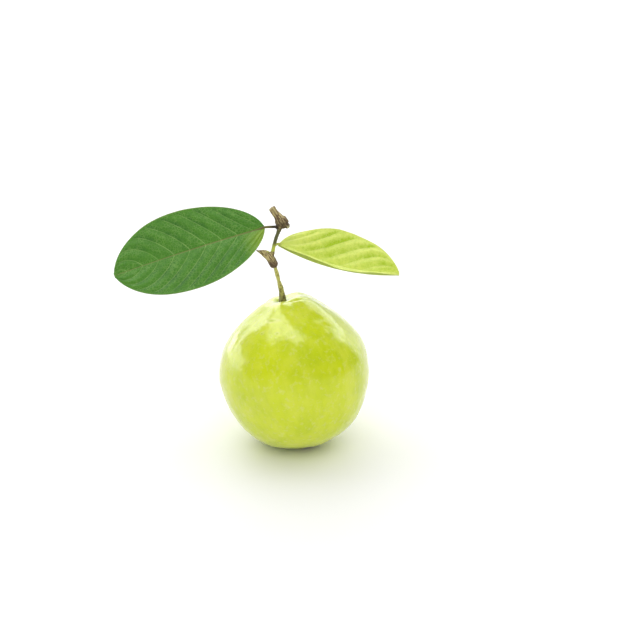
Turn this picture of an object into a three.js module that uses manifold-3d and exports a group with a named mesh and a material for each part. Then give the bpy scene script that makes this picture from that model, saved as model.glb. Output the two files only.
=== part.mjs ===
// A guava as picked: one whole fruit that stands on a small flat spot, its stalk, and the
// leafy end of the twig that the stalk hangs from. Millimetres, +Z up. The origin is the
// middle of the flat spot, +X runs along the leaves to the right, +Y runs away to the back.
import * as THREE from "three";
import { mergeVertices } from "three/addons/utils/BufferGeometryUtils.js";
import Module from "manifold-3d";

const wasm = await Module();
wasm.setup();
const { clamp, smoothstep } = THREE.MathUtils;

// ---- Driving dimensions -------------------------------------------------------------

// Pieces that touch are 0.3 clear of each other. In a bowl the middle of a piece is lifted more,
// so that its edge is clear too.
const CALYX_LIFT = 0.5;
const STALK_LIFT = 1.1;
const DEGREES = Math.PI / 180;

// Fruit: its skin lies at a polar radius about its centre that is a short cosine series in
// the angle from the stalk, narrow at the stalk and full at the blossom end.
const SKIN_SERIES = [43.34, -1.02, 0.95, 0.59, 0.5, 0.65];
const FRUIT_HEIGHT = 44.2; // of the fruit's centre above the surface it stands on
const LEAN_LEFT = 9.3; // degrees, of the stalk end
const LEAN_BACK = 11; // degrees
const PIT_DEPTH = 4.6; // where the stalk enters
const PIT_ANGLE = 9.5; // degrees from the axis to the middle of the pit's side
const BASIN_DEPTH = 2.2; // at the blossom end
const BASIN_ANGLE = 6.5;
const LOBES = 5; // soft shoulders round the stalk
const LOBE_HEIGHT = 0.8;
const LOBE_TURN = 45; // degrees about the axis, from the right to the first of them
const LOBE_ANGLE = 27; // where they stand highest
const LOBE_SPREAD = 20;
const SHOULDER_SLANT = 1.9; // how much higher the right shoulder stands, and the left one lower
const SHOULDER_DROP = 0.7; // how much lower they all stand than the series gives
const SLANT_TURN = 24; // degrees about the axis, from the right to the highest shoulder
const SLANT_ANGLE = 20;
const SLANT_SPREAD = 18;
const FRUIT_AROUND = 60;
const FRUIT_DOWN = 32;

// Calyx: the dried crown of the flower, lying in the basin
const SEPALS = 5;
const CALYX_RADIUS = 4.1;
const CALYX_NOTCH = 0.42; // share of the radius that is cut away between two sepals
const CALYX_THICKNESS = 0.8;

// Twig and stalk: points on their middle lines, and radii there
const STALK_ROOT_RADIUS = 2.1;
const STALK_RADIUS = 1.05;
const STALK_TOP = new THREE.Vector3(-10.4, 9.9, 102.9);
const NODE_LOW = new THREE.Vector3(-10.4, 10.2, 103.6); // the thick lower end of the old wood
const NODE_MIDDLE = new THREE.Vector3(-14.6, 9.9, 110.6);
const NODE_TORN = new THREE.Vector3(-21.0, 9.2, 113.8); // its torn tip
const NODE_RADIUS = 2.5;
const SHOOT_BEND = new THREE.Vector3(-10.3, 11.4, 119.0);
const KNOB = new THREE.Vector3(-6.6, 12.3, 129.5); // the upper node, where the leaves part
const KNOB_RADIUS = 3.4;
const SHOOT_RADIUS = 1.15;
const STUB_TOP = new THREE.Vector3(-12.2, 12.6, 137.8); // the cut end of the twig
const STUB_RADIUS = 1.95;
const SCAR = new THREE.Vector3(-3.6, 11.0, 127.8); // where the opposite leaf has dropped
const SCAR_RADIUS = 1.6;
const TUBE_SIDES = 10;

// The way that a leaf's upper side looks: 0 is straight up and 90 is to the front.
function facing(degrees, sideways = 0) {
  return new THREE.Vector3(sideways, -Math.sin(degrees * DEGREES), Math.cos(degrees * DEGREES));
}

// Leaves: each has a middle line from its base to its tip, and a side that its face looks to
const BLADE_THICKNESS = 0.7;
const LARGE_LEAF = {
  root: new THREE.Vector3(-10.3, 12.0, 126.6), // where its leafstalk leaves the twig
  base: new THREE.Vector3(-16.4, 11.2, 126.8),
  middle: new THREE.Vector3(-59.9, 4.0, 116.1),
  tip: new THREE.Vector3(-100.0, -4.0, 103.5),
  face: facing(52),
  leftWidth: 23.8, // of the half on the left, seen from above with the tip ahead
  rightWidth: 23.3,
  widestShift: 1.12, // over 1 brings the widest place nearer the tip
  tipPower: 0.7, // a larger one draws the tip out
  fold: 7, // degrees that each half is raised from flat
  ribs: 9.5, // side ribs that would fit into the length
  ribOffset: 0.3, // part of a rib's distance that the base is past one
  leftReach: 0.33, // share of the length that a side rib runs forward on its way to the edge
  rightReach: 0.24,
  ribBend: 1.3, // over 1 a side rib leaves squarely and then turns to the tip
  ribSwell: 0.7,
  wave: 0.6,
  stalkRadius: 0.7,
  footSwell: 0.6,
};
const YOUNG_LEAF = {
  root: new THREE.Vector3(-9.13, 11.5, 116.0),
  base: new THREE.Vector3(-8.1, 11.7, 116.8),
  middle: new THREE.Vector3(23.0, 13.2, 97.2),
  tip: new THREE.Vector3(59.8, 12.5, 98.2),
  face: facing(15, 0.1),
  leftWidth: 22.4,
  rightWidth: 20.0,
  widestShift: 1.12,
  tipPower: 0.72,
  fold: 35,
  ribs: 5.5,
  ribOffset: 0.32,
  leftReach: 0.55,
  rightReach: 0.55,
  ribBend: 1,
  ribSwell: 1.2,
  wave: -0.7,
  stalkRadius: 0.65,
  footSwell: 0.1,
};
const LEAF_ALONG = 44;
const LEAF_ACROSS = 14;
const LEAF_END_WIDTH = 0.05; // share of the half width left at the base and the tip
const RIB_START = 5; // mm from the middle rib to where the swell between side ribs is full

// ---- Solids -------------------------------------------------------------------------

// A closed geometry as a solid that can be cut and joined.
function solid(geometry) {
  const bare = geometry.clone();
  for (const name of Object.keys(bare.attributes)) {
    if (name !== "position") bare.deleteAttribute(name);
  }
  const merged = mergeVertices(bare, 1e-4);
  const corners = [];
  const index = merged.index.array;
  for (let i = 0; i < index.length; i += 3) {
    const [a, b, c] = [index[i], index[i + 1], index[i + 2]];
    if (a !== b && b !== c && a !== c) corners.push(a, b, c);
  }
  return new wasm.Manifold(
    new wasm.Mesh({
      numProp: 3,
      vertProperties: new Float32Array(merged.attributes.position.array),
      triVerts: new Uint32Array(corners),
    }),
  );
}

// A solid as a named mesh of the part.
function piece(name, made, look) {
  const mesh = made.getMesh();
  const geometry = new THREE.BufferGeometry();
  geometry.setAttribute("position", new THREE.BufferAttribute(new Float32Array(mesh.vertProperties), 3));
  geometry.setIndex(new THREE.BufferAttribute(new Uint32Array(mesh.triVerts), 1));
  geometry.computeVertexNormals();
  const shown = new THREE.Mesh(geometry, new THREE.MeshStandardMaterial(look));
  shown.name = name;
  return shown;
}

// Moves every vertex of a geometry to where the rule puts it.
function reshape(geometry, rule) {
  const position = geometry.attributes.position;
  const vertex = new THREE.Vector3();
  for (let i = 0; i < position.count; i += 1) {
    vertex.fromBufferAttribute(position, i);
    const moved = rule(vertex);
    position.setXYZ(i, moved.x, moved.y, moved.z);
  }
  return geometry;
}

// A round rod along a curve, with a radius for each share of its length. It is a closed
// cylinder whose rings are laid along the curve.
function rod(curve, radiusAt, steps, sides = TUBE_SIDES) {
  const frames = curve.computeFrenetFrames(steps, false);
  return reshape(new THREE.CylinderGeometry(1, 1, 1, sides, steps), (v) => {
    const share = v.y + 0.5;
    const ring = Math.round(share * steps);
    return curve
      .getPointAt(share)
      .addScaledVector(frames.normals[ring], v.x * radiusAt(share))
      .addScaledVector(frames.binormals[ring], -v.z * radiusAt(share));
  });
}

// ---- Fruit --------------------------------------------------------------------------

const fruitCentre = new THREE.Vector3(0, 0, FRUIT_HEIGHT);
const fruitAxis = new THREE.Vector3(
  -Math.sin(LEAN_LEFT * DEGREES),
  Math.cos(LEAN_LEFT * DEGREES) * Math.sin(LEAN_BACK * DEGREES),
  Math.cos(LEAN_LEFT * DEGREES) * Math.cos(LEAN_BACK * DEGREES),
);
const fruitTurn = new THREE.Quaternion().setFromUnitVectors(new THREE.Vector3(0, 0, 1), fruitAxis);

// A bell that is 1 at its middle and fades out over its spread.
function bell(value, middle, spread) {
  return Math.exp(-(((value - middle) / spread) ** 2));
}

// Distance from the fruit's centre to its skin, at an angle down from the stalk and a turn
// about the axis, both in radians.
function skinRadius(down, turn) {
  const degrees = down / DEGREES;
  const round = SKIN_SERIES.reduce((sum, part, order) => sum + part * Math.cos(order * down), 0);
  const pit = PIT_DEPTH * bell(degrees, 0, PIT_ANGLE);
  const basin = BASIN_DEPTH * bell(degrees, 180, BASIN_ANGLE);
  const wave = Math.cos(LOBES * (turn - LOBE_TURN * DEGREES));
  const lobe = LOBE_HEIGHT * bell(degrees, LOBE_ANGLE, LOBE_SPREAD) * wave;
  const slant = SHOULDER_SLANT * Math.cos(turn - SLANT_TURN * DEGREES) - SHOULDER_DROP;
  const shoulder = lobe + slant * bell(degrees, SLANT_ANGLE, SLANT_SPREAD);
  return round - pit - basin + shoulder * Math.max(Math.sin(down), 0) ** 0.3;
}

// A point at a height above the skin, in the part's frame.
function onSkin(down, turn, height = 0) {
  const direction = new THREE.Vector3(
    Math.sin(down) * Math.cos(turn),
    Math.sin(down) * Math.sin(turn),
    Math.cos(down),
  );
  return direction
    .multiplyScalar(skinRadius(down, turn) + height)
    .applyQuaternion(fruitTurn)
    .add(fruitCentre);
}

function makeFruit() {
  const ball = new THREE.SphereGeometry(1, FRUIT_AROUND, FRUIT_DOWN);
  reshape(ball, (v) => onSkin(Math.acos(clamp(v.y, -1, 1)), Math.atan2(-v.z, v.x)));
  const under = new THREE.BoxGeometry(100, 100, 20).translate(0, 0, -10);
  return solid(ball).subtract(solid(under));
}

// A thin star of sepals that follows the basin's floor.
function makeCalyx() {
  const rings = 4;
  const below = [0, 1, 2, 3, 4].map((i) => new THREE.Vector2(i / rings, 0));
  const above = [4, 3, 2, 1, 0].map((i) => new THREE.Vector2(i / rings, 1));
  const disc = new THREE.LatheGeometry([...below, ...above], SEPALS * 8);
  reshape(disc, (v) => {
    const turn = Math.atan2(v.z, v.x);
    const share = Math.hypot(v.x, v.z);
    const lobe = Math.abs(Math.cos((SEPALS * turn) / 2)) ** 0.8;
    const reach = CALYX_RADIUS * (1 - CALYX_NOTCH * (1 - lobe));
    const fold = 0.5 * share * (1 - share) * 4 * lobe;
    const height = CALYX_LIFT + v.y * (CALYX_THICKNESS + fold);
    return onSkin(Math.PI - (reach * share) / SKIN_SERIES[0], turn, height);
  });
  return solid(disc);
}

// ---- Stalk and twig -----------------------------------------------------------------

function makeStalk() {
  const root = onSkin(0, 0, STALK_LIFT);
  const curve = new THREE.CatmullRomCurve3([
    root,
    root.clone().addScaledVector(fruitAxis, 6).add(new THREE.Vector3(0.5, 0, 0)),
    new THREE.Vector3().lerpVectors(root, STALK_TOP, 0.72).add(new THREE.Vector3(0.3, 0, 0)),
    STALK_TOP,
  ]);
  const radiusAt = (share) => {
    const flare = (STALK_ROOT_RADIUS - STALK_RADIUS) * bell(share, 0, 0.4);
    return STALK_RADIUS + flare + 0.1 * Math.sin(share * 17);
  };
  return solid(rod(curve, radiusAt, 14));
}

// The old wood at the foot of the shoot: thick and round where the stalk leaves it, and
// torn to a thin tip at its other end.
function oldWood() {
  const curve = new THREE.CatmullRomCurve3([NODE_LOW, NODE_MIDDLE, NODE_TORN]);
  const radiusAt = (share) => {
    const body = NODE_RADIUS * (1 - 0.2 * share);
    const roundEnd = Math.sqrt(1 - (1 - Math.min(share / 0.16, 1)) ** 2 * 0.75);
    const tornEnd = 1 - 0.82 * smoothstep(share, 0.6, 1);
    return body * roundEnd * tornEnd;
  };
  return solid(rod(curve, radiusAt, 12));
}

function greenShoot() {
  const foot = new THREE.Vector3().lerpVectors(NODE_LOW, NODE_MIDDLE, 0.6);
  const curve = new THREE.CatmullRomCurve3([foot, SHOOT_BEND, KNOB]);
  return solid(rod(curve, (share) => SHOOT_RADIUS * (1 + 0.35 * bell(share, 1, 0.2)), 12));
}

function cutStub() {
  const curve = new THREE.LineCurve3(KNOB, STUB_TOP);
  const foot = KNOB_RADIUS * 0.86;
  const radiusAt = (share) => foot + (STUB_RADIUS - foot) * smoothstep(share, 0, 0.7);
  return solid(rod(curve, radiusAt, 8));
}

function knobOf(centre, radius, squash) {
  const ball = new THREE.SphereGeometry(radius, 12, 8);
  reshape(ball, (v) => v.multiply(squash).add(centre));
  return solid(ball);
}

function makeTwig() {
  const knob = knobOf(KNOB, KNOB_RADIUS, new THREE.Vector3(1.12, 0.9, 1.12));
  const scar = knobOf(SCAR, SCAR_RADIUS, new THREE.Vector3(1, 1, 1));
  return oldWood().add(greenShoot()).add(knob).add(cutStub()).add(scar);
}

// ---- Leaves -------------------------------------------------------------------------

// The point of a leaf's middle line at a share of its length, with the two directions that
// carry the blade there.
function leafFrame(leaf, share) {
  const line = new THREE.QuadraticBezierCurve3(leaf.base, leaf.middle, leaf.tip);
  const ahead = line.getTangentAt(share);
  const up = leaf.face.clone().addScaledVector(ahead, -leaf.face.dot(ahead)).normalize();
  return { point: line.getPointAt(share), up, side: new THREE.Vector3().crossVectors(up, ahead) };
}

// How far a point lies from the middle rib. The share of the length runs from 0 at the base to 1,
// and across from 0 on the middle rib to 1 on the left edge and -1 on the right one. Each half is
// half of a long oval with slightly drawn ends.
function outwardAt(leaf, share, across) {
  const shifted = share ** leaf.widestShift;
  const power = shifted > 0.5 ? leaf.tipPower : 0.55;
  const oval = Math.max(0, 1 - Math.abs(2 * shifted - 1) ** 2.25) ** power;
  const widest = across > 0 ? leaf.leftWidth : leaf.rightWidth;
  return Math.abs(across) * widest * Math.max(LEAF_END_WIDTH, oval);
}

// How far the blade swells between two side ribs, which run outward and on towards the tip.
function ribRelief(leaf, share, across) {
  const reach = across > 0 ? leaf.leftReach : leaf.rightReach;
  const passed = (share - reach * Math.abs(across) ** leaf.ribBend) * leaf.ribs + leaf.ribOffset;
  const fromMiddle = smoothstep(outwardAt(leaf, share, across), 0, RIB_START);
  const inside = fromMiddle * (1 - smoothstep(Math.abs(across), 0.7, 1));
  return leaf.ribSwell * (0.5 - 0.5 * Math.cos(2 * Math.PI * passed)) * inside;
}

// The blade: a sheet laid along the middle line, with a second one under it that is split
// into triangles alike, and a rim that closes them.
function blade(leaf) {
  const fold = leaf.fold * DEGREES;
  const place = (share, across, depth) => {
    const { point, up, side } = leafFrame(leaf, share);
    const outward = outwardAt(leaf, share, across);
    const wave = leaf.wave * across ** 2 * Math.sin(share * 11 + (across > 0 ? 0 : 2));
    const relief = ribRelief(leaf, share, across) + wave;
    const rise = outward * Math.sin(fold) + relief - depth;
    return point
      .addScaledVector(side, Math.sign(across) * outward * Math.cos(fold))
      .addScaledVector(up, rise);
  };
  const sheet = new THREE.PlaneGeometry(1, 1, LEAF_ALONG, LEAF_ACROSS);
  const count = sheet.attributes.position.count;
  const points = [];
  for (const depth of [0, BLADE_THICKNESS]) {
    for (let i = 0; i < count; i += 1) {
      const share = sheet.attributes.position.getX(i) + 0.5;
      const across = sheet.attributes.position.getY(i) * 2;
      points.push(place(share, across, depth));
    }
  }
  const faces = [];
  const plane = sheet.index.array;
  for (let i = 0; i < plane.length; i += 3) {
    faces.push(plane[i], plane[i + 1], plane[i + 2]);
    faces.push(count + plane[i], count + plane[i + 2], count + plane[i + 1]);
  }
  const row = LEAF_ALONG + 1;
  const last = LEAF_ACROSS * row;
  const rim = [];
  for (let i = 0; i < LEAF_ALONG; i += 1) rim.push(i);
  for (let j = 0; j < LEAF_ACROSS; j += 1) rim.push(j * row + LEAF_ALONG);
  for (let i = LEAF_ALONG; i > 0; i -= 1) rim.push(last + i);
  for (let j = LEAF_ACROSS; j > 0; j -= 1) rim.push(j * row);
  rim.forEach((a, k) => {
    const b = rim[(k + 1) % rim.length];
    faces.push(a, b, count + b, a, count + b, count + a);
  });
  const geometry = new THREE.BufferGeometry().setFromPoints(points);
  geometry.setIndex(faces);
  return geometry;
}

// The leafstalk and the middle rib that it becomes, under the blade.
function middleRib(leaf) {
  const under = [0.12, 0.35, 0.6, 0.94].map((share) => {
    const { point, up } = leafFrame(leaf, share);
    return point.addScaledVector(up, -BLADE_THICKNESS);
  });
  const curve = new THREE.CatmullRomCurve3([leaf.root, leaf.base, ...under]);
  const radiusAt = (share) => {
    return leaf.stalkRadius * (1 - 0.62 * share) + leaf.footSwell * bell(share, 0, 0.03);
  };
  return rod(curve, radiusAt, 36, 8);
}

function makeLeaf(leaf) {
  return solid(blade(leaf)).add(solid(middleRib(leaf)));
}

// ---- The part -----------------------------------------------------------------------

const LOOKS = {
  skin: { color: 0xccd93a, roughness: 0.38, metalness: 0 },
  dried: { color: 0x5c4630, roughness: 0.85, metalness: 0 },
  greenStalk: { color: 0x9c9a48, roughness: 0.7, metalness: 0 },
  bark: { color: 0x7a6248, roughness: 0.85, metalness: 0 },
  darkLeaf: { color: 0x4a8a37, roughness: 0.5, metalness: 0 },
  youngLeaf: { color: 0xb7d047, roughness: 0.5, metalness: 0 },
};

const guava = new THREE.Group();
guava.add(
  piece("fruit", makeFruit(), LOOKS.skin),
  piece("calyx", makeCalyx(), LOOKS.dried),
  piece("stalk", makeStalk(), LOOKS.greenStalk),
  piece("twig", makeTwig(), LOOKS.bark),
  piece("leaf_large", makeLeaf(LARGE_LEAF), LOOKS.darkLeaf),
  piece("leaf_young", makeLeaf(YOUNG_LEAF), LOOKS.youngLeaf),
);

export default guava;
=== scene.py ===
# %% [markdown]
# # A guava with its stalk and two leaves
#
# This lesson dresses a solid model of a guava in Blender. The solids come first: they say where
# every piece is and how large. Each piece is then modelled again, finer, in the same place, and
# gets a finish of its own. Everything is in metres, with +Z up, and the origin is the middle of
# the small flat spot that the fruit stands on.

# %% Load the solids
import math

import bmesh
import bpy
from mathutils import Matrix, Vector, noise


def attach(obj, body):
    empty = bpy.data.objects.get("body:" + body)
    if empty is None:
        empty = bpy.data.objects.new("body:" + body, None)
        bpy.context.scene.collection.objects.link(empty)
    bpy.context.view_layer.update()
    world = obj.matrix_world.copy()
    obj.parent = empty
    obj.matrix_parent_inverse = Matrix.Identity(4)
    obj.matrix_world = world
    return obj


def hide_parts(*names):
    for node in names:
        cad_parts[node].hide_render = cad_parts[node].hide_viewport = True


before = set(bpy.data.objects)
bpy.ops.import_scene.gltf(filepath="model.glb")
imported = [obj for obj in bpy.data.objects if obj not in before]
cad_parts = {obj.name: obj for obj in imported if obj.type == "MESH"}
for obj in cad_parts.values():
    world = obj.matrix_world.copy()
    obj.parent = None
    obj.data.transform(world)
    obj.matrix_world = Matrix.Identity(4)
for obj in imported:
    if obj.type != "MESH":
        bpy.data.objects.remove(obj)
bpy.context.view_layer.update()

MM = 0.001

# %% [markdown]
# ## The camera
#
# The camera looks a little down on the fruit, as from a chair at a table. It stands a metre away
# and sees the fruit through a long lens, which keeps the shapes calm: a close camera with a wide
# lens would swell what is near. Its place is worked out from the point that it aims at.

# %% Place the camera
AIM = Vector((14.8, 10.8, 70.9)) * MM
CAMERA_DISTANCE = 1.0
CAMERA_ELEVATION = math.radians(22)
LENS = 98.2  # millimetres, before a sensor 36 mm wide

camera = bpy.data.objects.new("camera", bpy.data.cameras.new("camera"))
camera.data.lens = LENS
camera.data.sensor_width = 36
towards_camera = Vector((0, -math.cos(CAMERA_ELEVATION), math.sin(CAMERA_ELEVATION)))
camera.location = AIM + towards_camera * CAMERA_DISTANCE
camera.rotation_euler = (math.radians(90) - CAMERA_ELEVATION, 0, 0)
bpy.context.scene.collection.objects.link(camera)
bpy.context.scene.camera = camera
print("The camera stands at", [round(part, 3) for part in camera.location])

# %% [markdown]
# ## The studio
#
# Fruit for sale is often shown on a white table inside a tent of white cloth, so that nothing
# hides in shade. What a waxy fruit mirrors matters as much as what lights it. The walls, the back
# and the roof of the tent make the broad pale patches on the fruit's shoulders and rims, and the
# slits between the roof's panels leave streaks of full colour between them. The front has only a
# low, dim strip of cloth, so the front of the fruit keeps its colour too. One lamp could do both
# jobs, but here each job gets lamps of its own, which can be set one at a time: the tent's panels
# are seen in reflections alone, and the lamps and the white surroundings only light. The Standard
# view keeps whites white, where the default view would grey them.

# %% Lamps, and the panels of the tent
# Places and sizes are in metres, turns in degrees. A radiance of 1 is as bright as white paper.
SURROUND = 0.75  # the radiance of the world outside the tent
LAMPS = {
    "left lamp": {"place": (-0.52, 0.62, 0.85), "size": (0.95, 1.20), "radiance": 1.2},
    "right lamp": {"place": (0.95, 0.72, 0.85), "size": (0.80, 1.30), "radiance": 1.2},
    "front lamp": {"place": (0, -1.3, 1.3), "size": (1.2, 1.0), "radiance": 1.5, "turn": (45, 0, 0)},
}
PANELS = {
    "left roof": {"place": (-0.68, 1.03, 1.2), "size": (0.52, 2.50), "radiance": 3.5, "turn": (0, 0, 9)},
    "far roof": {"place": (-1.14, 1.06, 1.2), "size": (0.22, 1.60), "radiance": 1.8, "turn": (0, 0, 28)},
    "slant roof": {"place": (-0.15, 0.05, 1.2), "size": (1.00, 0.45), "radiance": 3.8, "turn": (0, 0, -41)},
    "right roof": {"place": (0.84, 1.51, 1.2), "size": (2.00, 1.50), "radiance": 2.8, "turn": (0, 0, 26)},
    "left wall": {"place": (-1.3, 0.95, 0.25), "size": (0.5, 1.7), "radiance": 3.0, "turn": (0, -90, 0)},
    "right wall": {"place": (1.3, 1.05, 0.6), "size": (1.2, 1.0), "radiance": 1.9, "turn": (0, 90, 0)},
    "high back": {"place": (-0.8, 1.5, 0.75), "size": (1.6, 0.9), "radiance": 2.5, "turn": (-90, 0, 0)},
    "low back": {"place": (-0.8, 1.5, 0.15), "size": (1.6, 0.3), "radiance": 1.6, "turn": (-90, 0, 0)},
    "right back": {"place": (0.65, 1.5, 0.6), "size": (1.3, 1.2), "radiance": 1.1, "turn": (-90, 0, 0)},
    "low front": {"place": (0, -1.6, 0.25), "size": (5.0, 0.5), "radiance": 0.4, "turn": (90, 0, 0)},
}


def add_lamp(name, place, size, radiance, turn=(0, 0, 0)):
    """A rectangle of light that looks down before it is turned."""
    lamp = bpy.data.objects.new(name, bpy.data.lights.new(name, "AREA"))
    lamp.data.shape = "RECTANGLE"
    lamp.data.size, lamp.data.size_y = size
    lamp.data.energy = radiance * math.pi * size[0] * size[1]
    lamp.location = place
    lamp.rotation_euler = [math.radians(angle) for angle in turn]
    lamp.visible_camera = False
    bpy.context.scene.collection.objects.link(lamp)
    return lamp


for name, lamp in LAMPS.items():
    add_lamp(name, **lamp).visible_glossy = False
for name, panel in PANELS.items():
    add_lamp(name, **panel).visible_diffuse = False
world = bpy.data.worlds.new("white surroundings")
world.use_nodes = True
world.node_tree.nodes["Background"].inputs["Color"].default_value = (1, 1, 1, 1)
world.node_tree.nodes["Background"].inputs["Strength"].default_value = SURROUND
world.cycles_visibility.glossy = False
bpy.context.scene.world = world
bpy.context.scene.view_settings.view_transform = "Standard"
print("Lamps:", ", ".join([*LAMPS, *PANELS]))

# %% The white table
FLOOR_SIZE = 6.0
FLOOR_DROP = 0.05 * MM  # so that the fruit's flat spot and the floor don't share a plane
TABLE_WHITE = (0.93, 0.93, 0.92, 1)
TABLE_ROUGHNESS = 0.6


def add_floor():
    made = bmesh.new()
    bmesh.ops.create_grid(made, x_segments=1, y_segments=1, size=FLOOR_SIZE / 2)
    bmesh.ops.translate(made, vec=(0, 0, -FLOOR_DROP), verts=made.verts)
    mesh = bpy.data.meshes.new("floor")
    made.to_mesh(mesh)
    made.free()
    floor = bpy.data.objects.new("floor", mesh)
    bpy.context.scene.collection.objects.link(floor)
    white = bpy.data.materials.new("white table")
    white.use_nodes = True
    surface = white.node_tree.nodes["Principled BSDF"]
    surface.inputs["Base Color"].default_value = TABLE_WHITE
    surface.inputs["Roughness"].default_value = TABLE_ROUGHNESS
    mesh.materials.append(white)


add_floor()
print("The table is", FLOOR_SIZE, "m wide")

# %% [markdown]
# ## Writing a finish as sums
#
# A finish is a tree of shader nodes. Wiring them one by one is long to write and hard to read, so
# two small classes help. `Signal` wraps the output of a node, and each Python operator on it adds
# the Math node that does the same. `Finish` owns the material, and its method `node` adds any
# other node, first with its settings and then with the values or links of its sockets. Its other
# methods are short names for the nodes that are used most.

# %% Signals and finishes
class Signal:
    """A node's output that can be used in Python arithmetic."""

    def __init__(self, finish, socket):
        self.finish = finish
        self.socket = socket

    def math(self, operation, *others):
        """The result of a maths node whose first term is this value."""
        terms = dict(enumerate((self, *others)))
        return self.finish.node("ShaderNodeMath", {"operation": operation}, terms)

    def __add__(self, other):
        return self.math("ADD", other)

    def __sub__(self, other):
        return self.math("SUBTRACT", other)

    def __rsub__(self, other):
        return self * -1 + other

    def __mul__(self, other):
        return self.math("MULTIPLY", other)

    def __abs__(self):
        return self.math("ABSOLUTE")

    __radd__ = __add__
    __rmul__ = __mul__

    def step(self, low, high):
        """0 below low and 1 above high, with a soft change between; low may be the larger."""
        ranges = {"interpolation_type": "SMOOTHSTEP"}
        inputs = {"Value": self, "From Min": low, "From Max": high}
        return self.finish.node("ShaderNodeMapRange", ranges, inputs)


class Finish:
    """A material under construction, with one Principled surface."""

    def __init__(self, name):
        self.material = bpy.data.materials.new(name)
        self.material.use_nodes = True
        self.tree = self.material.node_tree
        self.surface = self.tree.nodes["Principled BSDF"]

    def plug(self, socket, value):
        if isinstance(value, Signal):
            self.tree.links.new(value.socket, socket)
        else:
            socket.default_value = value

    def node(self, kind, settings=None, inputs=None, output=0):
        made = self.tree.nodes.new(kind)
        for key, value in (settings or {}).items():
            setattr(made, key, value)
        for key, value in (inputs or {}).items():
            self.plug(made.inputs[key], value)
        return Signal(self, made.outputs[output])

    def place(self, centre=(0, 0, 0), turn=(0, 0, 0), scale=(1, 1, 1)):
        """Object coordinates in metres, moved to a centre, turned and then stretched."""
        plain = self.node("ShaderNodeTexCoord", output="Object")
        inputs = {"Vector": plain, "Location": centre, "Rotation": turn}
        centred = self.node("ShaderNodeMapping", {"vector_type": "TEXTURE"}, inputs)
        return self.node("ShaderNodeMapping", {}, {"Vector": centred, "Scale": scale})

    def height(self, place):
        return self.node("ShaderNodeSeparateXYZ", {}, {0: place}, "Z")

    def distance(self, place, point=(0, 0, 0)):
        settings = {"operation": "DISTANCE"}
        return self.node("ShaderNodeVectorMath", settings, {0: place, 1: point}, "Value")

    def attribute(self, name):
        """A value that the mesh stores at each of its vertices."""
        return self.node("ShaderNodeAttribute", {"attribute_name": name}, output="Fac")

    def noise(self, place, size, detail=3.0, roughness=0.5):
        """Soft clouds about as large as size, in millimetres."""
        inputs = {"Vector": place, "Scale": 1 / (size * MM), "Detail": detail, "Roughness": roughness}
        return self.node("ShaderNodeTexNoise", {}, inputs)

    def cells(self, place, size, feature="F1", output="Distance"):
        """Distances in a field of cells about as large as size, in millimetres."""
        inputs = {"Vector": place, "Scale": 1 / (size * MM)}
        return self.node("ShaderNodeTexVoronoi", {"feature": feature}, inputs, output)

    def mix(self, share, first, second):
        """The first colour where share is 0, and the second where it is 1."""
        colours = [first, second]
        for i, colour in enumerate(colours):
            if not isinstance(colour, Signal):
                colours[i] = (*colour, 1)
        inputs = {0: share, 6: colours[0], 7: colours[1]}
        return self.node("ShaderNodeMix", {"data_type": "RGBA"}, inputs, output=2)

    def bump(self, height, distance, strength=1.0):
        """Feeds a height of 0 to 1 as relief of so many millimetres."""
        inputs = {"Height": height, "Distance": distance * MM, "Strength": strength}
        normal = self.node("ShaderNodeBump", {}, inputs)
        self.plug(self.surface.inputs["Normal"], normal)

    def set(self, **values):
        """Sets the surface's sockets; an underscore stands for the space in a socket's name."""
        for key, value in values.items():
            self.plug(self.surface.inputs[key.replace("_", " ")], value)


print("Signals know", len([name for name in vars(Signal) if name.startswith("__")]), "special methods")

# %% [markdown]
# ## From a bmesh to a piece
#
# All shapes below are modelled in millimetres, which are handy for a fruit. This helper turns
# them into metres, makes the object with its finish, sets it on the part's only body and hides the
# solid that it stands for. Two curves come with it, a bell and a soft step, from which most of the
# shapes are made.

# %% A helper that makes a piece, and two curves
def add_piece(made, name, replaced, finish):
    bmesh.ops.transform(made, matrix=Matrix.Scale(MM, 4), verts=made.verts)
    mesh = bpy.data.meshes.new(name)
    made.to_mesh(mesh)
    made.free()
    mesh.materials.append(finish.material)
    mesh.polygons.foreach_set("use_smooth", [True] * len(mesh.polygons))
    piece = bpy.data.objects.new(name, mesh)
    bpy.context.scene.collection.objects.link(piece)
    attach(piece, "root")
    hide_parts(replaced)
    mesh.calc_loop_triangles()
    print(name, "has", len(mesh.loop_triangles), "triangles")
    return piece


def bell(value, middle, spread):
    return math.exp(-(((value - middle) / spread) ** 2))


def smooth(low, high, value):
    share = min(max((value - low) / (high - low), 0), 1)
    return share * share * (3 - 2 * share)


print("Two spreads from its middle a bell is down to", round(bell(2, 0, 1), 3))

# %% [markdown]
# ## The fruit
#
# A guava is nearly round, but no circle fits it: it narrows to the stalk, has soft shoulders
# round a shallow pit, and a small basin at the other end. A lathe outline could be spun for the
# broad form, but the shoulders and dents aren't the same all round. So the mesh starts as a fine
# sphere, and each vertex is pushed out along its own ray to the skin. The distance is a short sum
# of cosines of the angle from the stalk, with a bell taken off for the pit and for the basin.

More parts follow.
